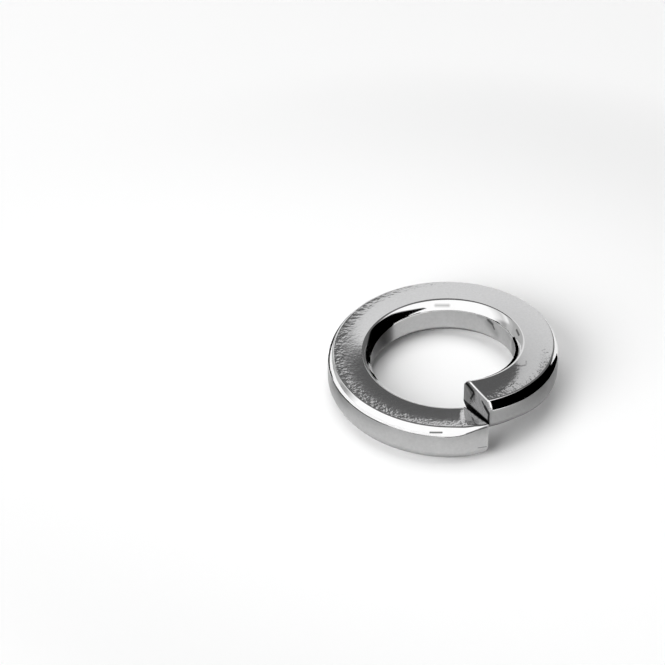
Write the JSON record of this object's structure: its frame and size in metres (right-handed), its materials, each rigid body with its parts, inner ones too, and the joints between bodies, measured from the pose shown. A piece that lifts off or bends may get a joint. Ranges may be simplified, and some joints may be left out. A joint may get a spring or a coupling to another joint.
{
  "type": "spring lock washer",
  "caption": "Split spring lock washer: an open turn of bevelled rectangular wire, bright plated, its raised end keeping a right-hand nut from loosening.",
  "frame": {"origin": "on the bore's axis, level with the lowest edge of the lower end, which touches the table", "axes": "+Z along the bore's axis, from the lower end up to the raised end; seen from above, the split lies at -69 degrees from +X and the wire climbs clockwise from it"},
  "size_m": [0.0328, 0.0328, 0.0101],
  "materials": {
    "bright_plate": "bright chrome plate on spring steel, satin on the broad faces and bare at the sheared ends"
  },
  "bodies": {
    "root": {"lock_washer": "bright_plate"}
  },
  "joints": []
}
